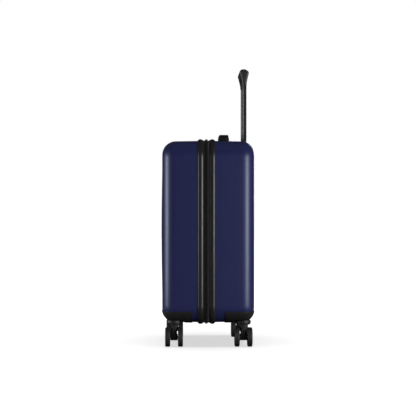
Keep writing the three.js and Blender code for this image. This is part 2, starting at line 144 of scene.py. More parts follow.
def bevel(obj, width, segments=2, angle=30.0):
    modifier = obj.modifiers.new("bevel", "BEVEL")
    modifier.width = width * MM
    modifier.segments = segments
    modifier.limit_method = "ANGLE"
    modifier.angle_limit = math.radians(angle)
    modifier.harden_normals = False
    return obj


def cut(obj, tool, operation="DIFFERENCE"):
    """Cuts obj with another object, which is then removed."""
    modifier = obj.modifiers.new("cut", "BOOLEAN")
    modifier.operation = operation
    modifier.solver = "EXACT"
    modifier.object = tool
    apply_modifiers(obj)
    bpy.data.objects.remove(tool, do_unlink=True)
    return obj


def box_bm(x, y, z, bm=None):
    """A box from three (low, high) pairs."""
    bm = bm or bmesh.new()
    centre = Vector(((x[0] + x[1]) / 2, (y[0] + y[1]) / 2, (z[0] + z[1]) / 2))
    size = Vector((x[1] - x[0], y[1] - y[0], z[1] - z[0]))
    bmesh.ops.create_cube(bm, size=1, matrix=Matrix.Translation(centre) @ Matrix.Diagonal(size).to_4x4())
    return bm


def rounded_outline(half_a, half_b, radius, steps=6, straight=1):
    """Points round a rounded rectangle, anticlockwise from the right-hand side."""
    points = []
    centres = [(half_a - radius, half_b - radius), (radius - half_a, half_b - radius)]
    centres += [(radius - half_a, radius - half_b), (half_a - radius, radius - half_b)]
    for corner, (a, b) in enumerate(centres):
        for step in range(steps + 1):
            angle = (corner + step / steps) * math.pi / 2
            points.append((a + radius * math.cos(angle), b + radius * math.sin(angle)))
        after = centres[(corner + 1) % 4]
        last = points[-1]
        first_angle = (corner + 1) * math.pi / 2
        first = (after[0] + radius * math.cos(first_angle), after[1] + radius * math.sin(first_angle))
        for step in range(1, straight):
            t = step / straight
            points.append((last[0] + (first[0] - last[0]) * t, last[1] + (first[1] - last[1]) * t))
    return points


def shifted(outline, a, b):
    """The outline moved by a and b."""
    return [(along + a, across + b) for along, across in outline]


def loft(bm, rings, close_ends=True, closed_loop=False):
    """Skins rings of equal length. closed_loop joins the last ring to the first."""
    rows = [[bm.verts.new(p) for p in ring] for ring in rings]
    count = len(rings[0])
    pairs = list(zip(rows, rows[1:]))
    if closed_loop:
        pairs.append((rows[-1], rows[0]))
    for low, high in pairs:
        for i in range(count):
            j = (i + 1) % count
            bm.faces.new((low[i], low[j], high[j], high[i]))
    if close_ends and not closed_loop:
        bm.faces.new(list(reversed(rows[0])))
        bm.faces.new(rows[-1])
    return rows


def prism(outline, low, high, axis="Z", edge=0.0, edge_steps=2):
    """An outline of (a, b) points drawn out along an axis, its two rims rounded by edge."""
    place = {
        "Z": lambda a, b, c: (a, b, c),
        "Y": lambda a, b, c: (a, c, b),
        "X": lambda a, b, c: (c, a, b),
    }[axis]
    stations = [(0.0, low), (0.0, high)]
    if edge:
        arc = [i / edge_steps * math.pi / 2 for i in range(edge_steps + 1)]
        stations = [(edge * (1 - math.sin(t)), low + edge * (1 - math.cos(t))) for t in arc]
        stations += [(edge * (1 - math.cos(t)), high - edge * (1 - math.sin(t))) for t in arc]
    bm = bmesh.new()
    rings = []
    for inset, level in stations:
        rings.append([place(a, b, level) for a, b in inset_outline(outline, inset)])
    loft(bm, rings)
    return bm


def inset_outline(outline, inset):
    """The outline moved inwards by inset, each point along its own bisector."""
    if not inset:
        return outline
    count = len(outline)
    area = sum(
        outline[i][0] * outline[(i + 1) % count][1] - outline[(i + 1) % count][0] * outline[i][1]
        for i in range(count)
    )
    turn = 1 if area > 0 else -1
    moved = []
    for i, (a, b) in enumerate(outline):
        before = Vector(outline[i - 1])
        after = Vector(outline[(i + 1) % count])
        here = Vector((a, b))
        into = (here - before).normalized()
        out = (after - here).normalized()
        normal = Vector((-(into.y + out.y), into.x + out.x)) * turn
        normal.normalize()
        stretch = 1 / max(0.5, math.sqrt((1 + into.dot(out)) / 2))
        moved.append((a + normal.x * inset * stretch, b + normal.y * inset * stretch))
    return moved


def lathe(profile, steps=48, axis="Y", centre=(0, 0, 0)):
    """A closed profile of (radius, along) points turned about an axis through centre."""
    bm = bmesh.new()
    rows = []
    for i in range(steps):
        angle = 2 * math.pi * i / steps
        c, s = math.cos(angle), math.sin(angle)
        row = []
        for radius, along in profile:
            point = {
                "Y": (radius * c, along, radius * s),
                "Z": (radius * c, radius * s, along),
                "X": (along, radius * c, radius * s),
            }[axis]
            row.append(Vector(point) + Vector(centre))
        rows.append(row)
    verts = [[bm.verts.new(p) for p in row] for row in rows]
    for i in range(steps):
        j = (i + 1) % steps
        for k in range(len(profile)):
            after = (k + 1) % len(profile)
            bm.faces.new((verts[i][k], verts[i][after], verts[j][after], verts[j][k]))
    bmesh.ops.remove_doubles(bm, verts=bm.verts, dist=1e-4)
    return bm


def merge(bm, other, matrix=None):
    """Adds other's geometry to bm and frees it."""
    mesh = bpy.data.meshes.new("part")
    other.to_mesh(mesh)
    other.free()
    if matrix:
        mesh.transform(matrix)
    bm.from_mesh(mesh)
    bpy.data.meshes.remove(mesh)
    return bm


# ---------------------------------------------------------------- materials
def node_material(name, color, roughness, **sockets):
    """A principled material. Uniform values go straight on its sockets."""
    material = bpy.data.materials.new(name)
    material.use_nodes = True
    tree = material.node_tree
    shader = tree.nodes["Principled BSDF"]
    shader.inputs["Base Color"].default_value = (*color, 1)
    shader.inputs["Roughness"].default_value = roughness
    for key, value in sockets.items():
        shader.inputs[key.replace("_", " ")].default_value = value
    return material, tree, shader


def position_node(tree, scale=(1, 1, 1)):
    """Object coordinates in metres, scaled per axis."""
    coordinates = tree.nodes.new("ShaderNodeTexCoord")
    mapping = tree.nodes.new("ShaderNodeMapping")
    mapping.inputs["Scale"].default_value = scale
    tree.links.new(coordinates.outputs["Object"], mapping.inputs["Vector"])
    return mapping.outputs["Vector"]


def noise_node(tree, vector, scale, detail=2.0, roughness=0.5):
    node = tree.nodes.new("ShaderNodeTexNoise")
    node.inputs["Scale"].default_value = scale
    node.inputs["Detail"].default_value = detail
    node.inputs["Roughness"].default_value = roughness
    tree.links.new(vector, node.inputs["Vector"])
    return node.outputs["Fac"]


def ramp_value(tree, value, low, high, start=0.0, end=1.0):
    node = tree.nodes.new("ShaderNodeMapRange")
    node.inputs["From Min"].default_value = start
    node.inputs["From Max"].default_value = end
    node.inputs["To Min"].default_value = low
    node.inputs["To Max"].default_value = high
    tree.links.new(value, node.inputs["Value"])
    return node.outputs["Result"]


def color_mix(tree, factor, dark, light):
    node = tree.nodes.new("ShaderNodeMix")
    node.data_type = "RGBA"
    node.inputs["A"].default_value = (*dark, 1)
    node.inputs["B"].default_value = (*light, 1)
    tree.links.new(factor, node.inputs["Factor"])
    return node.outputs["Result"]


def bump(tree, shader, height, distance, strength=1.0):
    node = tree.nodes.new("ShaderNodeBump")
    node.inputs["Strength"].default_value = strength
    node.inputs["Distance"].default_value = distance
    tree.links.new(height, node.inputs["Height"])
    tree.links.new(node.outputs["Normal"], shader.inputs["Normal"])


def add_values(tree, first, second, operation="ADD"):
    node = tree.nodes.new("ShaderNodeMath")
    node.operation = operation
    tree.links.new(first, node.inputs[0])
    tree.links.new(second, node.inputs[1])
    return node.outputs["Value"]


def shell_material():
    """Deep blue moulded plastic: a fine pebbled grain under a thin gloss, slightly uneven in tone."""
    gloss = {"Coat_Weight": 0.15, "Coat_Roughness": 0.35, "Specular_IOR_Level": 0.56}
    blue_sheen = (0.68, 0.76, 1.0, 1.0)
    material, tree, shader = node_material(
        "shell_blue", (0.014, 0.017, 0.078), 0.42, Specular_Tint=blue_sheen, **gloss
    )
    place = position_node(tree)
    cells = tree.nodes.new("ShaderNodeTexVoronoi")
    cells.inputs["Scale"].default_value = 900
    tree.links.new(place, cells.inputs["Vector"])
    pebble = ramp_value(tree, cells.outputs["Distance"], 1.0, 0.0, 0.0, 0.6)
    bump(tree, shader, pebble, 0.00003, 0.5)
    blotch = noise_node(tree, place, 14, 3)
    tone = color_mix(tree, blotch, (0.0125, 0.0152, 0.07), (0.0155, 0.0186, 0.086))
    tree.links.new(tone, shader.inputs["Base Color"])
    wear = noise_node(tree, place, 60, 4, 0.6)
    tree.links.new(ramp_value(tree, wear, 0.415, 0.445, 0.35, 0.65), shader.inputs["Roughness"])
    return material


def moulded_material(name, color, roughness, grain=700, depth=0.00005, **sockets):
    """Moulded plastic with a spark-eroded grain and faint scuffs."""
    material, tree, shader = node_material(name, color, roughness, **sockets)
    place = position_node(tree)
    height = noise_node(tree, place, grain, 3, 0.6)
    bump(tree, shader, height, depth, 0.6)
    scuff = noise_node(tree, place, 45, 5, 0.65)
    shade_range = color_mix(tree, scuff, tuple(c * 0.85 for c in color), tuple(c * 1.2 for c in color))
    tree.links.new(shade_range, shader.inputs["Base Color"])
    tree.links.new(
        ramp_value(tree, scuff, roughness - 0.06, roughness + 0.08, 0.3, 0.7), shader.inputs["Roughness"]
    )
    return material


def woven_material(name, color, pitch, depth=0.00012, sheen=0.25, lift=1.8):
    """Plain weave: warp and weft threads a pitch apart, in millimetres, along the three axes."""
    material, tree, shader = node_material(name, color, 0.85, Sheen_Weight=sheen, Sheen_Roughness=0.5)
    turns = 2 * math.pi / (pitch * MM)
    place = position_node(tree, (turns, turns, turns))
    split = tree.nodes.new("ShaderNodeSeparateXYZ")
    tree.links.new(place, split.inputs["Vector"])
    waves = []
    for axis in "XYZ":
        sine = tree.nodes.new("ShaderNodeMath")
        sine.operation = "SINE"
        tree.links.new(split.outputs[axis], sine.inputs[0])
        waves.append(sine.outputs["Value"])
    crossing = add_values(tree, waves[0], waves[2], "MULTIPLY")
    crossing = add_values(tree, crossing, waves[1], "ADD")
    height = ramp_value(tree, crossing, 0.0, 1.0, -2.0, 2.0)
    bump(tree, shader, height, depth, 0.7)
    fuzz = noise_node(tree, position_node(tree), 500, 3, 0.7)
    mixed = add_values(tree, height, fuzz, "MULTIPLY")
    # painted shade and highlight: the colour follows the weave's height, with the hollows between threads
    # darker and the crowns lighter, broken up at random by the fine fuzz
    tone = color_mix(tree, mixed, tuple(c * 0.7 for c in color), tuple(c * lift for c in color))
    tree.links.new(tone, shader.inputs["Base Color"])
    return material


def brushed_material(name, color, roughness, stretch=(1, 1, 0.02), metallic=1.0):
    """Metal with fine drawn lines along its length."""
    material, tree, shader = node_material(name, color, roughness, Metallic=metallic)
    place = position_node(tree, stretch)
    lines = noise_node(tree, place, 1600, 2, 0.5)
    bump(tree, shader, lines, 0.00001, 0.4)
    smear = noise_node(tree, position_node(tree), 30, 4, 0.6)
    tree.links.new(
        ramp_value(tree, smear, roughness - 0.07, roughness + 0.1, 0.3, 0.7), shader.inputs["Roughness"]
    )
    return material


SHELL = shell_material()
TRIM = moulded_material("trim_black", (0.014, 0.014, 0.015), 0.36, 500, 0.00001, Specular_IOR_Level=0.35)
PLASTIC = moulded_material("plastic_black", (0.011, 0.011, 0.012), 0.5)
SOFT_GRIP = moulded_material("soft_grip_black", (0.009, 0.009, 0.0095), 0.7, 900, Specular_IOR_Level=0.25)
SATIN = moulded_material("plastic_black_satin", (0.024, 0.024, 0.027), 0.38, 600, 0.00001)
GLOSSY = moulded_material("plastic_black_gloss", (0.02, 0.02, 0.022), 0.38, 300, 0.000006)
TYRE = moulded_material("tyre_black", (0.012, 0.012, 0.0125), 0.58, 450)
TUBE = brushed_material("tube_anodised", (0.12, 0.12, 0.13), 0.36, metallic=0.5)
STEEL = brushed_material("zinc", (0.5, 0.5, 0.52), 0.32)
ZIP_CLOTH = woven_material("zip_tape", (0.008, 0.008, 0.0085), 0.9)
COIL = moulded_material("zip_coil", (0.012, 0.012, 0.013), 0.4, 1200)
LINING = woven_material("lining_cloth", (0.035, 0.036, 0.042), 1.1, sheen=0.15)
WEBBING = woven_material("webbing", (0.011, 0.011, 0.012), 1.6, depth=0.0003)


# ---------------------------------------------------------------- the case's surface
CORNER_STEPS = 10
SIDE_STEPS = 14
QUARTER = CORNER_STEPS + SIDE_STEPS
FACE_INSETS = (44, 54, 70, 90, 112, 134, 152, 166)


def case_ring(inset, y):
    """The case's outline at depth y, moved in from its sides by inset."""
    radius = max(CORNER_RADIUS - inset, 4.0)
    outline = rounded_outline(HALF_WIDTH - inset, HALF_HEIGHT - inset, radius, CORNER_STEPS, SIDE_STEPS)
    return [Vector((a, y, b + CASE_MIDDLE)) for a, b in outline]


def crown(x, z):
    """How far the face stands out at x, z: most in the middle and none at the rounded edge."""
    across = 1 - (x / (HALF_WIDTH - FACE_EDGE)) ** 2
    up = 1 - ((z - CASE_MIDDLE) / (HALF_HEIGHT - FACE_EDGE)) ** 2
    return FACE_CROWN * max(across, 0) * max(up, 0)


def case_surface(name, offset=0.0, edge_steps=9, face_insets=FACE_INSETS, draft=1.2):
    """One half's surface from its rim to the middle of its face, moved outwards by offset."""
    side = SIDES[name]
    radius = EDGE_RADIUS[name]
    rim = CLOSURE_Y + side * RIM_OFFSET
    start = side * (FACE_Y[name] - radius)
    rings = []
    walls = 8
    for i in range(walls):
        t = i / walls
        rings.append(case_ring(draft * t - offset, rim + (start - rim) * t))
    for i in range(edge_steps + 1):
        angle = i / edge_steps * math.pi / 2
        inset = draft + radius * (1 - math.cos(angle))
        y = start + side * radius * math.sin(angle)
        ring = case_ring(inset - offset * math.cos(angle), y + side * offset * math.sin(angle))
        rings.append(ring)
    for inset in face_insets:
        ring = case_ring(inset, side * (FACE_Y[name] + offset))
        rings.append([p + Vector((0, side * crown(p.x, p.z), 0)) for p in ring])
    return rings


def close_face(bm, row):
    """Fills the innermost ring of a face with level rungs, so the crowned face shades evenly."""
    dense = len(row) // (4 * QUARTER)
    corner, quarter = CORNER_STEPS * dense, QUARTER * dense
    right = row[corner::-1] + row[: 3 * quarter - 1 : -1]
    left = row[quarter : 2 * quarter + corner + 1]
    bm.faces.new(row[corner - 1 : quarter + 2])
    for i in range(1, len(left) - 2):
        bm.faces.new((right[i], left[i], left[i + 1], right[i + 1]))
    bm.faces.new(row[2 * quarter + corner - 1 : 3 * quarter + 2])


def surface_bm(rings):
    """Skins the rings and closes only the face."""
    bm = bmesh.new()
    rows = loft(bm, rings, close_ends=False)
    close_face(bm, rows[-1])
    return bm


def tool_box(x, y, z):
    bm = box_bm(x, y, z)
    return new_object("tool", bm, PLASTIC, None)


def tool_disc(x, y, radius, z):
    profile = [(0, z[0]), (radius, z[0]), (radius, z[1]), (0, z[1])]
    return new_object("tool", lathe(profile, 40, "Z", (x, y, 0)), PLASTIC, None)


def build_shell(name):
    """A moulded half shell, with its holes for the casters and for the handle or the lock."""
    outer = case_surface(name)
    inner = case_surface(name, -WALL)
    bm = bmesh.new()
    count = len(outer[0])
    far = loft(bm, outer, close_ends=False)
    near = loft(bm, inner, close_ends=False)
    close_face(bm, far[-1])
    close_face(bm, near[-1])
    for i in range(count):
        j = (i + 1) % count
        bm.faces.new((far[0][i], far[0][j], near[0][j], near[0][i]))
    obj = new_object(f"{name}_shell_visual", bm, SHELL, None)
    for hand in HANDS.values():
        cut(obj, tool_disc(hand * CASTER_X, CASTER_Y[name], HOUSING_RADIUS + 0.4, (40, POCKET_TOP + 3.3)))
    if name == "back":
        cut(obj, tool_box((-79.6, 79.6), (TUBE_Y - 16.3, TUBE_Y + 16.3), (480, 560)))
    else:
        cut(obj, tool_box((-190, -160), (LOCK_Y - 12.2, LOCK_Y + 12.2), (LOCK_Z - 28.2, LOCK_Z + 28.2)))
    shade(obj, 30)
    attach(obj, f"{name}_half")
    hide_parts(f"{name}_shell")


# ---------------------------------------------------------------- trims, zip and hinge
def swept_rim(profile, corner_steps=14):
    """A profile of (distance outside the shell, Y) points, carried round the case."""
    rings = []
    centre_x = HALF_WIDTH - CORNER_RADIUS
    centre_z = HALF_HEIGHT - CORNER_RADIUS
    for corner, (sx, sz) in enumerate(((1, 1), (-1, 1), (-1, -1), (1, -1))):
        for step in range(corner_steps + 1):
            angle = (corner + step / corner_steps) * math.pi / 2
            ring = []
            for out, y in profile:
                radius = CORNER_RADIUS + out
                x = sx * centre_x + radius * math.cos(angle)
                z = CASE_MIDDLE + sz * centre_z + radius * math.sin(angle)
                ring.append(Vector((x, y, z)))
            rings.append(ring)
    bm = bmesh.new()
    loft(bm, rings, closed_loop=True)
    return bm


def smooth_profile(points, rounds=2):
    """Chaikin's corner cutting, on a closed profile."""
    for _ in range(rounds):
        cut_points = []
        for i, (a, b) in enumerate(points):
            c, d = points[(i + 1) % len(points)]
            cut_points.append((a * 0.75 + c * 0.25, b * 0.75 + d * 0.25))
            cut_points.append((a * 0.25 + c * 0.75, b * 0.25 + d * 0.75))
        points = cut_points
    return points


TRIM_PROFILE = [
    (0.35, 22.6),
    (0.35, 8.4),
    (1.4, 8.4),
    (2.2, 9.2),
    (3.1, 10.8),
    (3.9, 12.6),
    (4.4, 14.6),
    (4.5, 16.4),
    (4.2, 18.2),
    (3.5, 19.8),
    (2.7, 21.2),
    (1.6, 22.6),
]
TAPE_PROFILE = [(0.6, 13.0), (-0.4, 13.0), (-0.4, 0.5), (1.2, 0.5), (1.3, 6.0), (0.7, 7.5)]


def placed_profile(name, profile):
    return [(out, CLOSURE_Y + SIDES[name] * along) for out, along in profile]


def zip_teeth(name, pitch=2.6):
    """The coil: one small rounded tooth after another, standing along the closure."""
    side = SIDES[name]
    base_x = HALF_WIDTH - CORNER_RADIUS
    base_z = HALF_HEIGHT - CORNER_RADIUS
    radius = CORNER_RADIUS + 1.1
    straights = (2 * base_z, 2 * base_x, 2 * base_z, 2 * base_x)
    arc = radius * math.pi / 2
    total = sum(straights) + 4 * arc
    count = int(total / pitch)
    bm = bmesh.new()
    shift = 0.0 if side > 0 else 0.5
    for tooth in range(count):
        along = (tooth + shift) / count * total
        position, normal = rim_point(along, straights, arc, base_x, base_z, radius)
        tangent = Vector((-normal.z, 0, normal.x))
        add_tooth(bm, position, normal, tangent, side)
    return bm


def rim_point(along, straights, arc, base_x, base_z, radius):
    """The point and outward direction at a distance round the case, from low on the +X side."""
    corners = ((base_x, base_z), (-base_x, base_z), (-base_x, -base_z), (base_x, -base_z))
    for side in range(4):
        normal = Vector((math.cos(side * math.pi / 2), 0, math.sin(side * math.pi / 2)))
        tangent = Vector((-normal.z, 0, normal.x))
        cx, cz = corners[side]
        end = Vector((cx, 0, cz)) + normal * radius
        if along < straights[side]:
            return end - tangent * (straights[side] - along), normal
        along -= straights[side]
        if along < arc:
            angle = side * math.pi / 2 + along / arc * math.pi / 2
            turned = Vector((math.cos(angle), 0, math.sin(angle)))
            return Vector((cx, 0, cz)) + turned * radius, turned
        along -= arc
    return end, normal


def add_tooth(bm, position, normal, tangent, side):
    """An eight-cornered loop of coil, highest beside the closure and falling to the tape."""
    section = ((-0.15, 0.0), (0.35, 2.9), (2.5, 3.0), (3.3, 0.6))
    rings = []
    for half, drop in ((-0.95, 0.5), (-0.5, 0.0), (0.5, 0.0), (0.95, 0.5)):
        ring = []
        for along, high in section:
            y = CLOSURE_Y + side * max(along, 0.32)
            lift = max(high - drop, 0.0)
            ring.append(Vector((0, y, CASE_MIDDLE)) + position + normal * lift + tangent * half)
        rings.append(ring)
    loft(bm, rings)


def build_closure(name):
    trim_bm = swept_rim(placed_profile(name, smooth_profile(TRIM_PROFILE)))
    trim = new_object(f"{name}_trim_visual", trim_bm, TRIM, f"{name}_half", 60)
    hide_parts(f"{name}_edge_trim")
    tape_bm = swept_rim(placed_profile(name, TAPE_PROFILE))
    tape = new_object(f"{name}_tape_visual", tape_bm, ZIP_CLOTH, f"{name}_half")
    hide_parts(f"{name}_zip_tape")
    teeth = new_object(f"{name}_zip_coil", zip_teeth(name), COIL, f"{name}_half", 50)


# ---------------------------------------------------------------- corner guards
def build_guard(name, hand_name):
    """A cup over one bottom corner, with the round housing its caster turns in."""
    side, hand = SIDES[name], HANDS[hand_name]
    inner = 45.0 if side > 0 else 41.0
    rings = case_surface(name, 1.7)
    bm = surface_bm(rings)
    bmesh.ops.recalc_face_normals(bm, faces=bm.faces)
    planes = (
        ((hand * 88, 0, 0), (-hand, 0, 0)),
        ((0, 0, GUARD_TOP), (0, 0, 1)),
        ((0, side * inner, 0), (0, -side, 0)),
        ((0, side * 124.9, 0), (0, side, 0)),
    )
    for point, normal in planes:
        whole = list(bm.verts) + list(bm.edges) + list(bm.faces)
        bmesh.ops.bisect_plane(bm, geom=whole, plane_co=point, plane_no=normal, clear_outer=True)
    obj = new_object(f"{name}_{hand_name}_guard_visual", bm, PLASTIC, None)
    thick = obj.modifiers.new("wall", "SOLIDIFY")
    thick.thickness = 1.4 * MM
    thick.offset = -1
    apply_modifiers(obj)
    x, y = hand * CASTER_X, CASTER_Y[name]
    cut(obj, tool_disc(x, y, HOUSING_RADIUS - 0.6, (40, POCKET_TOP)))
    bevel(obj, 0.45, 2, 40)
    apply_modifiers(obj)
    profile = [(29.4, 60.4), (29.4, POCKET_TOP), (5.6, POCKET_TOP), (5.6, POCKET_TOP + 3)]
    profile += [(HOUSING_RADIUS, POCKET_TOP + 3), (HOUSING_RADIUS, 61.2)]
    profile += [(30.6, 60.4), (30.2, 60.1), (29.8, 60.1)]
    housing = lathe(profile, 48, "Z", (x, y, 0))
    housing_obj = new_object(f"{name}_{hand_name}_caster_housing", housing, PLASTIC, None)
    cut(housing_obj, new_object("tool", surface_cap(name, 1.6), PLASTIC, None), "INTERSECT")
    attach(housing_obj, f"{name}_half")
    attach(obj, f"{name}_half")
    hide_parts(f"{name}_{hand_name}_corner_guard")


# ---------------------------------------------------------------- casters
def circle_points(centre, radius, start, end, steps):
    """Points on an arc, its angles given in half turns."""
    points = []
    for i in range(steps + 1):
        angle = (start + (end - start) * i / steps) * math.pi
        points.append((centre[0] + radius * math.cos(angle), centre[1] + radius * math.sin(angle)))
    return points


def fork_bm():
    """A caster's fork about its own swivel axis, its wheels trailing towards +X."""
    web = [(-11, 62), (-9.6, 54), (-6, 44), (TRAIL - FORK_BOSS, AXLE_Z + 5)]
    web += circle_points((TRAIL, AXLE_Z), FORK_BOSS, 0.96, 2.04, 14)
    web += [(TRAIL + FORK_BOSS, AXLE_Z + 10), (TRAIL + 5, AXLE_Z + 24), (TRAIL + 1, 62)]
    bm = prism(web, -6.4, 6.4, "Y", 1.4, 3)
    flare = [(-13.4, 62.5), (-12.4, 58), (-9.0, 51.5), (-6.2, 45)]
    flare += [(-y, z) for y, z in reversed(flare)]
    merge(bm, prism(flare, -10.5, TRAIL + 1, "X", 1.2))
    rib = [(-10.2, 61), (-5.4, 45), (TRAIL - 6, AXLE_Z + 5), (TRAIL + 3, AXLE_Z + 8), (2, 50), (-2, 61)]
    for y in (-6.9, 6.9):
        merge(bm, prism(rib, y - 0.9, y + 0.9, "Y", 0.3, 1))
    merge(bm, prism(circle_points((TRAIL, AXLE_Z), FORK_BOSS, 0, 1.95, 31), -9.6, 9.6, "Y", 0.9, 2))
    collar = [(0, 57.0), (16.2, 57.0), (18.8, 58.6), (20.3, 61.4), (20.3, 68.0), (19.4, 69.3), (0, 69.3)]
    merge(bm, lathe(collar, 40, "Z"))
    merge(bm, lathe([(0, 66), (5, 66), (5, 77.5), (4.2, 78.3), (0, 78.3)], 24, "Z"))
    return bm


def tyre_bm():
    w = WHEEL_HALF_WIDTH
    r = WHEEL_RADIUS
    profile = [(r - 6.2, -w + 0.5), (r - 3.2, -w), (r - 1.4, -w + 0.5), (r - 0.4, -w + 1.7)]
    profile += [(r, -w + 3.2), (r, -0.7), (r - 0.35, -0.3)]
    profile += [(radius, -along) for radius, along in reversed(profile)]
    return lathe(profile, 64, "Y")


def hub_bm():
    """The wheel's moulded centre: a dished face with six ribs and a cap over the axle."""
    w = WHEEL_HALF_WIDTH
    r = WHEEL_RADIUS - 6.2
    profile = [(3.1, -w + 0.6), (r + 0.15, -w + 0.6), (r + 0.15, w - 0.7), (r - 1.3, w - 0.4)]
    profile += [(r - 2.4, w - 1.0), (r - 3.6, w - 2.8), (7.4, w - 2.8), (6.6, w - 1.2), (5.8, w - 0.2)]
    profile += [(2.6, w), (0, w), (0, w - 2.3), (3.1, w - 2.3)]
    bm = lathe(profile, 56, "Y")
    for i in range(6):
        rib = prism([(6.2, -1.2), (r - 2.2, -1.0), (r - 2.2, 1.0), (6.2, 1.2)], w - 3.1, w - 1.4, "Y", 0.3, 1)
        merge(bm, rib, Matrix.Rotation(i * math.pi / 3, 4, "Y"))
    return bm


def build_caster(name, hand_name):
    place = f"{name}_{hand_name}"
    stand = Matrix.Translation((HANDS[hand_name] * CASTER_X, CASTER_Y[name], 0))
    bm = merge(bmesh.new(), fork_bm(), stand)
    fork = new_object(f"{place}_fork_visual", bm, PLASTIC, f"{place}_caster")
    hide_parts(f"{place}_caster_fork")
    for label, along in (("a", -1), ("b", 1)):
        flip = Matrix.Rotation(math.pi if along < 0 else 0, 4, "Z")
        spot = stand @ Matrix.Translation((TRAIL, along * WHEEL_SPACING / 2, AXLE_Z + 0.2)) @ flip
        body = f"{place}_wheel_{label}"
        tyre = new_object(f"{body}_tyre", merge(bmesh.new(), tyre_bm(), spot), TYRE, body)
        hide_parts(body)
        hub = new_object(f"{body}_hub", merge(bmesh.new(), hub_bm(), spot), PLASTIC, body)


# ---------------------------------------------------------------- telescopic handle
def hollow_tube(outline, wall, low, high):
    """A tube with open ends."""
    bm = bmesh.new()
    hole = inset_outline(outline, wall)
    rings = [
        [Vector((a, b, low)) for a, b in hole],
        [Vector((a, b, low)) for a, b in outline],
        [Vector((a, b, high - 0.4)) for a, b in outline],
        [Vector((a, b, high)) for a, b in inset_outline(outline, 0.3)],
        [Vector((a, b, high)) for a, b in hole],
    ]
    loft(bm, rings, closed_loop=True)
    return bm


def build_tube(label, hand_name, size, low, high, body):
    x = HANDS[hand_name] * TUBE_X
    bm = hollow_tube(rounded_outline(size[0] / 2, size[1] / 2, 3.2, 6), TUBE_WALL, low, high)
    bm = merge(bmesh.new(), bm, Matrix.Translation((x, TUBE_Y, 0)))
    tube = new_object(f"{hand_name}_{label}_tube_visual", bm, TUBE, body, 25)
    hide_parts(f"{hand_name}_{label}_tube")


def build_shade_strip(hand_name):
    """A black strip along the rear of each inner tube's outer side: painted shade, a dark piece standing in
    for the shade on that part of the tube.
    """
    hand = HANDS[hand_name]
    outline = [(9.3, -1.4), (9.85, -1.1), (9.85, 3.6), (9.2, 4.7), (8.0, 5.1)]
    outline += [(4.0, 5.1), (4.0, 4.6), (8.0, 4.4), (9.2, 3.0), (9.2, -1.2)]
    placed = [(hand * (TUBE_X + a), TUBE_Y + b) for a, b in outline]
    # painted shade: this black strip darkens the tube's rear where shade falls
    strip = new_object(f"{hand_name}_tube_shade_strip", prism(placed, 275, 700), SOFT_GRIP, "handle_stage_2", 60)


def grip_outline():
    """The grip's end: narrow at the tube, with a wide rounded crest."""
    right = [(5.7, 698), (5.8, 704), (6.6, 709), (7.8, 714), (8.9, 719), (10.4, 725), (11.7, 731)]
    crest = [(11.5, 734), (9.6, 736.6), (6.4, 738.8), (3.0, 740.9), (-0.6, 741.8), (-4.4, 741.8)]
    crest += [(-8.0, 741.1), (-11.0, 739.4), (-12.6, 736.8)]
    left = [(-12.8, 733.6), (-11.4, 728), (-9.7, 722), (-8.2, 716), (-6.9, 710), (-5.8, 704), (-5.7, 698)]
    return right + crest + left


def build_grip():
    placed = shifted(grip_outline(), TUBE_Y, 0)
    bm = prism(placed, -GRIP_HALF_LENGTH, GRIP_HALF_LENGTH, "X", 4.2, 5)
    shell = new_object("grip_visual", bm, SATIN, None)
    opening = shifted(rounded_outline(50, 20.7, 9, 10), 0, 700.8)
    cut(shell, new_object("tool", prism(opening, 60, 140, "Y"), PLASTIC, None))
    cut(shell, tool_box((-17.6, 17.6), (TUBE_Y - 6.1, TUBE_Y + 6.1), (726.4, 760)))
    for hand in HANDS.values():
        x = (hand * TUBE_X - 9.9, hand * TUBE_X + 9.9)
        cut(shell, tool_box(x, (TUBE_Y - 5.0, TUBE_Y + 5.0), (690, 712.4)))
    bevel(shell, 1.0, 3, 40)
    apply_modifiers(shell, 40)
    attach(shell, "handle_stage_2")
    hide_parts("grip_shell")
    pad = shifted(rounded_outline(44, 8.6, 7, 8), 0, TUBE_Y)
    under = new_object("grip_pad_visual", prism(pad, 720.4, 725.6, "Z", 0.8), GLOSSY, "handle_stage_2")
    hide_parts("grip_underside")
    cap = shifted(rounded_outline(17, 5.5, 4.6, 10), 0, TUBE_Y)
    cap_bm = prism(cap, 730.0, 743.0, "Z", 1.4, 3)
    button = new_object("release_button_visual", cap_bm, GLOSSY, "handle_button")
    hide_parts("release_button")


def build_socket():
    """The moulded tray at the top of the tubes: a rounded flange lying on the shell, and a deep pocket."""
    bm = surface_bm(case_surface("back", 1.5, edge_steps=14))
    bmesh.ops.recalc_face_normals(bm, faces=bm.faces)
    flange = new_object("handle_socket_visual", bm, PLASTIC, None)
    rim = shifted(rounded_outline(82.2, 18.4, 8, 8), 0, TUBE_Y)
    thick = flange.modifiers.new("wall", "SOLIDIFY")
    thick.thickness = 1.2 * MM
    thick.offset = -1
    apply_modifiers(flange)
    cut(flange, new_object("tool", prism(rim, 500, 600), PLASTIC, None), "INTERSECT")
    opening = shifted(rounded_outline(77, 13.9, 5, 8), 0, TUBE_Y)
    cut(flange, new_object("tool", prism(opening, 480, 600), PLASTIC, None))
    bevel(flange, 0.5, 2, 40)
    apply_modifiers(flange)
    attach(flange, "back_half")
    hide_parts("handle_socket")
    outside = shifted(rounded_outline(78.6, 15.5, 6, 8), 0, TUBE_Y)
    tray = new_object("handle_tray", prism(outside, 500, 560), PLASTIC, None)
    top = new_object("tool", surface_cap("back", 1.0), PLASTIC, None)
    cut(tray, top, "INTERSECT")
    cut(tray, new_object("tool", prism(opening, 502, 600), PLASTIC, None))
    for hand in HANDS.values():
        hole = shifted(rounded_outline(11.7, 7.0, 3.4, 6), hand * TUBE_X, TUBE_Y)
        cut(tray, new_object("tool", prism(hole, 480, 520), PLASTIC, None))
    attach(tray, "back_half")


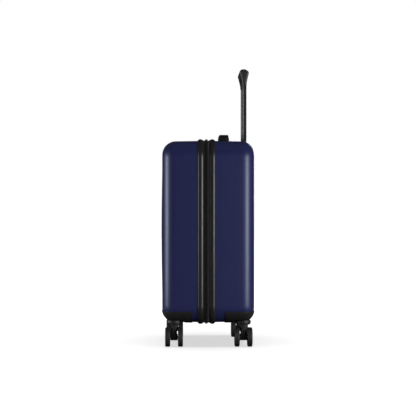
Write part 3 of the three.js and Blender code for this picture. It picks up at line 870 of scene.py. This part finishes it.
def surface_cap(name, offset):
    """The half's surface as a closed solid, its rim filled in."""
    bm = bmesh.new()
    rows = loft(bm, case_surface(name, offset), close_ends=False)
    close_face(bm, rows[-1])
    bm.faces.new(list(reversed(rows[0])))
    return bm


# ---------------------------------------------------------------- carry handles
def carry_frame(name):
    """From a handle's own frame, with +Z away from the shell, to the row's."""
    if name == "top":
        return Matrix.Translation((0, HANDLE_Y, CASE_TOP))
    turn = Matrix.Rotation(-math.pi / 2, 4, "Y")
    return Matrix.Translation((-HALF_WIDTH, HANDLE_Y, SIDE_HANDLE_Z)) @ turn


def bezier(points, steps=8):
    """A quadratic curve through three control points."""
    made = []
    for i in range(1, steps + 1):
        t = i / steps
        a, b, c = (1 - t) ** 2, 2 * t * (1 - t), t * t
        made.append(tuple(a * p + b * q + c * r for p, q, r in zip(*points)))
    return made


def build_carry_handle(name, rise, thick):
    place = carry_frame(name)
    reach, foot = 85.0, 2.2
    outline = [(-reach, foot), (-reach, foot + thick * 0.6)]
    outline += bezier(((-reach, foot + thick * 0.6), (14 - reach, rise), (34 - reach, rise)))
    outline += [(-25, rise + 0.2), (25, rise + 0.2), (reach - 34, rise)]
    outline += bezier(((reach - 34, rise), (reach - 14, rise), (reach, foot + thick * 0.6)))
    outline += [(reach, foot), (reach - 12, foot)]
    outline += bezier(((reach - 12, foot), (reach - 20, rise - thick), (reach - 36, rise - thick)))
    outline += bezier(((36 - reach, rise - thick), (20 - reach, rise - thick), (12 - reach, foot)))
    bm = merge(bmesh.new(), prism(outline, -12.6, 12.6, "Y", min(3.0, thick * 0.3), 4), place)
    grip = new_object(f"{name}_grip_visual", bm, SOFT_GRIP, f"{name}_grip", 50)
    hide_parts(f"{name}_carry_grip")
    bm = bmesh.new()
    merge(bm, prism(rounded_outline(93, 15, 11, 8), 0.35, 1.9, "Z", 0.6), place)
    for end in (-1, 1):
        bm = merge(bm, carry_boss(end, rise), place)
    tray = new_object(f"{name}_tray_visual", bm, SOFT_GRIP, "back_half")
    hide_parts(f"{name}_handle_tray")


def carry_boss(end, rise):
    """The hood at one end of a carry handle: a wall round the grip's foot, open towards the middle."""
    high = 1 + rise * 0.45
    wall = [(64, -13.6), (64, -12.8), (85.5, -12.8), (86.8, -11.5)]
    wall += [(86.8, 11.5), (85.5, 12.8), (64, 12.8), (64, 13.6)]
    wall += circle_points((82, 3.6), 10, 0.5, 0.0, 7) + circle_points((82, -3.6), 10, 0.0, -0.5, 7)
    placed = [(end * a, b) for a, b in wall]
    return prism(placed, 1.7, high, "Z", 0.35, 2)


# ---------------------------------------------------------------- lock and zip pulls
def build_lock():
    face = -(HALF_WIDTH + 3.5)
    outline = shifted(rounded_outline(16, 34, 4, 6), LOCK_Y, LOCK_Z)
    plate = new_object("lock_visual", prism(outline, face, -HALF_WIDTH - 0.3, "X", 1.0, 3), GLOSSY, None)
    dial_window = ((LOCK_Y - 7.7, LOCK_Y + 7.7), (DIALS_Z - 12.5, DIALS_Z + 12.5))
    button_window = ((LOCK_Y - 5.4, LOCK_Y + 5.4), (LOCK_BUTTON_Z - 5.4, LOCK_BUTTON_Z + 5.4))
    cut(plate, tool_box((-190, -170), *dial_window))
    cut(plate, tool_box((-190, -170), *button_window))
    well = box_bm((-175.5, -164.5), (LOCK_Y - 11.5, LOCK_Y + 11.5), (LOCK_Z - 27.4, LOCK_Z + 27.4))
    back = new_object("lock_well", well, PLASTIC, None)
    cut(back, tool_box((-190, -166), *dial_window))
    cut(back, tool_box((-190, -166.2), *button_window))
    bevel(plate, 0.4, 2, 40)
    apply_modifiers(plate)
    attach(plate, "front_half")
    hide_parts("lock_housing")
    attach(back, "front_half")
    for i in range(3):
        build_dial(i + 1, DIALS_Z + (i - 1) * DIAL_PITCH)
    cap = shifted(rounded_outline(5, 5, 1.4, 5), LOCK_Y, LOCK_BUTTON_Z)
    button = new_object("lock_button_visual", prism(cap, -180, -169, "X", 0.6), STEEL, "lock_release")
    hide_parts("lock_button")


def build_dial(number, z):
    """A dial with ten flats and ten finger ridges between them."""
    outline = []
    for i in range(10):
        base = i * 0.2
        for share, radius in ((0.0, 7.0), (0.03, 7.0), (0.05, 6.5), (0.15, 6.5), (0.17, 7.0)):
            angle = (base + share) * math.pi
            outline.append((DIAL_X + radius * math.cos(angle), LOCK_Y + radius * math.sin(angle)))
    body = f"lock_dial_{number}"
    dial = new_object(f"lock_dial_{number}_visual", prism(outline, z - 3, z + 3, "Z", 0.3), PLASTIC, body)
    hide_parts(f"lock_dial_{number}")


def build_zip_pull(name):
    z = PULL_Z[name]
    plate = shifted(rounded_outline(5.4, 9, 3, 6), CLOSURE_Y, z)
    bm = prism(plate, -182.4, -179.6, "X", 0.7)
    merge(bm, box_bm((-180, -176.2), (CLOSURE_Y - 6.1, CLOSURE_Y - 3.6), (z - 8, z + 8)))
    bridge = [(-5.2, -3.4), (1, -3.4), (1, 3.4), (-5.2, 3.4)]
    merge(bm, prism(shifted(bridge, CLOSURE_Y, z), -184.2, -182.2, "X", 0.6))
    slider = new_object(f"{name}_slider_visual", bm, STEEL, f"{name}_slider")
    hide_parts(f"{name}_zip_slider")
    outline = shifted(rounded_outline(12.7, 4.5, 3.4, 8), CLOSURE_Y - 20.2, z)
    tab = new_object(f"{name}_tab_visual", prism(outline, -182, -180, "X", 0.6), STEEL, None)
    hole = shifted(rounded_outline(3.2, 2.2, 2, 6), CLOSURE_Y - 27, z)
    cut(tab, new_object("tool", prism(hole, -190, -170, "X"), PLASTIC, None))
    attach(tab, f"{name}_tab")
    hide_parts(f"{name}_pull_tab")


# ---------------------------------------------------------------- lining, straps and hinge cloth
def smooth_step(value, low, high):
    t = min(max((value - low) / (high - low), 0.0), 1.0)
    return t * t * (3 - 2 * t)


def drape(name, point):
    """Moves a point of the lining in over the tube channel, the lock and the caster housings."""
    side = SIDES[name]
    x, y, z = point
    depth = abs(y)
    if side > 0:
        shut = 1 - smooth_step(abs(x), 87, 95)
        if depth > CHANNEL_DEPTH and shut > 0:
            depth += (CHANNEL_DEPTH - depth) * shut
    lift = smooth_step(abs(x), 90, 95) * smooth_step(abs(y), 52, 57)
    over_housing = POCKET_TOP + 9.8
    if z < over_housing and lift > 0:
        z += (over_housing - z) * lift
    if side < 0 and x < -158 and abs(z - LOCK_Z) < 42 and depth < 62:
        x += (-158.4 - x) * (1 - smooth_step(abs(z - LOCK_Z), 38, 42)) * (1 - smooth_step(depth, 60, 62))
    place = Vector((x, y, z))
    rumple = noise.noise(place * 0.035) * 0.5 + noise.noise(place * 0.09) * 0.25
    return Vector((x, side * (depth - 0.4 + rumple), z + rumple * 0.3))


def build_lining(name):
    insets = [FACE_EDGE + 4.6 * i for i in range(30)]
    rings = case_surface(name, -LINING_GAP, face_insets=insets)[1:]
    fine = []
    for low, high in zip(rings[:8], rings[1:9]):
        fine += [low, [(a + b) / 2 for a, b in zip(low, high)]]
    fine += rings[8:]
    draped = [[drape(name, p) for p in densify(ring)] for ring in fine]
    lining = new_object(f"{name}_lining_visual", surface_bm(draped), LINING, None, 80)
    thick = lining.modifiers.new("cloth", "SOLIDIFY")
    thick.thickness = CLOTH * MM
    thick.offset = -1
    apply_modifiers(lining, 80)
    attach(lining, f"{name}_half")
    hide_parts(f"{name}_lining")


def densify(ring):
    """The ring with a point added in the middle of each edge."""
    doubled = []
    for i, point in enumerate(ring):
        doubled += [point, (point + ring[(i + 1) % len(ring)]) / 2]
    return doubled


def strap_band(name, reach_x, depth, lean, lift):
    """One flat webbing band, humped over the other at the middle, its edges thinner than its core."""
    length = math.hypot(reach_x, STRAP_REACH)
    direction = Vector((reach_x * lean, 0, STRAP_REACH)).normalized()
    across = Vector((direction.z, 0, -direction.x))
    half = STRAP_HALF_WIDTH
    section = [(-half, -0.2), (1 - half, -0.65), (half - 1, -0.65), (half, -0.2)]
    section += [(a, -b) for a, b in reversed(section)]
    rings = []
    for i in range(41):
        along = (i / 20 - 1) * length
        centre = Vector((0, 0, CASE_MIDDLE)) + direction * along
        hump = lift * math.exp(-((along / 22) ** 2))
        dip = FACE_CROWN - crown(centre.x, centre.z) if name == "front" else 0
        centre.y = SIDES[name] * (depth - hump - dip)
        rings.append([centre + across * a + Vector((0, b, 0)) for a, b in section])
    bm = bmesh.new()
    loft(bm, rings)
    return bm


def build_straps(name, reach_x, depth):
    side = SIDES[name]
    bm = strap_band(name, reach_x, depth, 1, 0)
    merge(bm, strap_band(name, reach_x, depth - 0.2, -1, 1.6))
    straps = new_object(f"{name}_straps_visual", bm, WEBBING, f"{name}_half", 60)
    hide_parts(f"{name}_packing_straps")
    top = side * (depth - 2.6)
    outline = shifted(rounded_outline(21, 27, 6, 8), 0, CASE_MIDDLE)
    low, high = sorted((top, top - side * 3.2))
    buckle = new_object(f"{name}_strap_buckle", prism(outline, low, high, "Y", 1.0, 3), GLOSSY, None)
    for z in (-11, 11):
        slot = shifted(rounded_outline(9, 3, 2.6, 6), 0, z + CASE_MIDDLE)
        cut(buckle, new_object("tool", prism(slot, low - 5, high + 5, "Y"), PLASTIC, None))
    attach(buckle, f"{name}_half")


def build_hinge_cloth():
    """The strip behind the zip on the hinge side."""
    section = [(172.95, 130), (174.05, 130), (174.05, 478), (172.95, 478)]
    rings = []
    for i in range(25):
        y = CLOSURE_Y - 13 + 26 * i / 24
        rings.append([Vector((x, y, z)) for x, z in section])
    bm = bmesh.new()
    loft(bm, rings)
    cloth = new_object("hinge_cloth_visual", bm, ZIP_CLOTH, None, 60)
    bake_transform(cloth)
    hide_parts("hinge_gusset")


# ---------------------------------------------------------------- pieces that keep their CAD shape
def keep_cad(name, material):
    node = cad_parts[name]
    node.data.materials.clear()
    node.data.materials.append(material)


# ---------------------------------------------------------------- camera, light and floor
def look_at(obj, target):
    obj.rotation_euler = (Vector(target) - obj.location).to_track_quat("-Z", "Y").to_euler()


def area_light(name, location, target, size, energy, in_reflections=True):
    data = bpy.data.lights.new(name, "AREA")
    data.shape = "RECTANGLE"
    data.size, data.size_y = size
    data.energy = energy
    obj = bpy.data.objects.new(name, data)
    bpy.context.scene.collection.objects.link(obj)
    obj.location = location
    obj.visible_glossy = in_reflections
    look_at(obj, target)
    return obj


def lights_only(lights, floor, state):
    """Keeps lights off the floor (EXCLUDE) or on nothing else (INCLUDE), as a studio's flags do."""
    receivers = bpy.data.collections.new("floor_" + state.lower())
    receivers.objects.link(floor)
    receivers.collection_objects[0].light_linking.link_state = state
    for light in lights:
        light.light_linking.receiver_collection = receivers


def camera_ray(tree):
    return tree.nodes.new("ShaderNodeLightPath").outputs["Is Camera Ray"]


def mix_shader(tree, factor, first, second):
    node = tree.nodes.new("ShaderNodeMixShader")
    tree.links.new(factor, node.inputs["Fac"])
    tree.links.new(first, node.inputs[1])
    tree.links.new(second, node.inputs[2])
    return node.outputs["Shader"]


def floor_material():
    """A white sweep that takes a soft shadow, and is dim in the case's own reflections."""
    material, tree, shader = node_material("studio_floor", (1, 1, 1), 1.0, Specular_IOR_Level=0.0)
    length = tree.nodes.new("ShaderNodeVectorMath")
    length.operation = "LENGTH"
    tree.links.new(position_node(tree), length.inputs[0])
    glow = tree.nodes.new("ShaderNodeEmission")
    outward = ramp_value(tree, length.outputs["Value"], FLOOR_GLOW, 1.1, 0.5, 1.4)
    tree.links.new(outward, glow.inputs["Strength"])
    seen = tree.nodes.new("ShaderNodeAddShader")
    tree.links.new(shader.outputs["BSDF"], seen.inputs[0])
    tree.links.new(glow.outputs["Emission"], seen.inputs[1])
    dim = tree.nodes.new("ShaderNodeBsdfDiffuse")
    dim.inputs["Color"].default_value = (0.2, 0.2, 0.2, 1)
    tree.links.new(
        mix_shader(tree, camera_ray(tree), dim.outputs["BSDF"], seen.outputs["Shader"]),
        tree.nodes["Material Output"].inputs["Surface"],
    )
    return material


def build_world():
    """White where the camera looks past the case, and a dim even fill on the case itself."""
    world = bpy.data.worlds.new("studio")
    bpy.context.scene.world = world
    world.use_nodes = True
    tree = world.node_tree
    fill = tree.nodes["Background"]
    fill.inputs["Strength"].default_value = WORLD_FILL
    fill.inputs["Color"].default_value = (1, 1, 1, 1)
    white = tree.nodes.new("ShaderNodeBackground")
    white.inputs["Color"].default_value = (1, 1, 1, 1)
    tree.links.new(
        mix_shader(tree, camera_ray(tree), fill.outputs["Background"], white.outputs["Background"]),
        tree.nodes["World Output"].inputs["Surface"],
    )


def build_stage():
    camera_data = bpy.data.cameras.new("camera")
    camera_data.lens = CAMERA_LENS
    camera_data.sensor_width = 36
    camera = bpy.data.objects.new("camera", camera_data)
    bpy.context.scene.collection.objects.link(camera)
    camera.location = CAMERA_PLACE
    look_at(camera, CAMERA_TARGET)
    bpy.context.scene.camera = camera

    bm = bmesh.new()
    bmesh.ops.create_grid(bm, x_segments=8, y_segments=8, size=12000)
    floor = new_object("studio_floor", bm, floor_material(), None)
    build_world()
    case_lights = [
        area_light("left_strip", (0.5, -2.4, 0.33), (0, 0, 0.33), (0.7, 1.1), 40),
        area_light("right_strip", (1.62, 1.82, 0.33), (0, 0, 0.33), (0.7, 1.1), 48),
        area_light("back_light", (-3.4, 0.7, 0.9), (0, 0, 0.3), (1.2, 1.2), 24),
        area_light("front_fill", (3.2, 0.9, 0.5), (0, 0, 0.3), (1.6, 1.0), 16, False),
        area_light("overhead", (0.05, 0, 2.4), (0, 0, 0), (1.8, 1.8), 10, False),
    ]
    lights_only(case_lights, floor, "EXCLUDE")
    floor_light = area_light("floor_light", (0.05, 0, 2.4), (0, 0, 0), (1.7, 1.7), 28)
    lights_only([floor_light], floor, "INCLUDE")
    bpy.context.scene.view_settings.view_transform = "Standard"


# ---------------------------------------------------------------- the scene
build_stage()
for half_name in SIDES:
    build_shell(half_name)
    build_closure(half_name)
    build_lining(half_name)
    for hand_label in HANDS:
        build_guard(half_name, hand_label)
        build_caster(half_name, hand_label)
build_straps("front", 105, 119.5)
build_straps("back", 62, 79.3)
build_hinge_cloth()
for hand_label in HANDS:
    build_tube("middle", hand_label, MIDDLE_TUBE, 79.5, 504.5, "handle_stage_1")
    build_tube("inner", hand_label, INNER_TUBE, 273, 711.7, "handle_stage_2")
    build_shade_strip(hand_label)
    keep_cad(f"{hand_label}_outer_tube", TUBE)
    keep_cad(f"{hand_label}_lock_plug", PLASTIC)
    keep_cad(f"{hand_label}_release_rod", STEEL)
build_grip()
build_socket()
build_carry_handle("top", 20.0, 11.0)
build_carry_handle("side", 13.0, 6.0)
build_lock()
for pull_name in PULL_Z:
    build_zip_pull(pull_name)
keep_cad("handle_base", PLASTIC)
keep_cad("handle_cover", PLASTIC)
for half_name in SIDES:
    for hand_label in HANDS:
        keep_cad(f"{half_name}_{hand_label}_axle", STEEL)
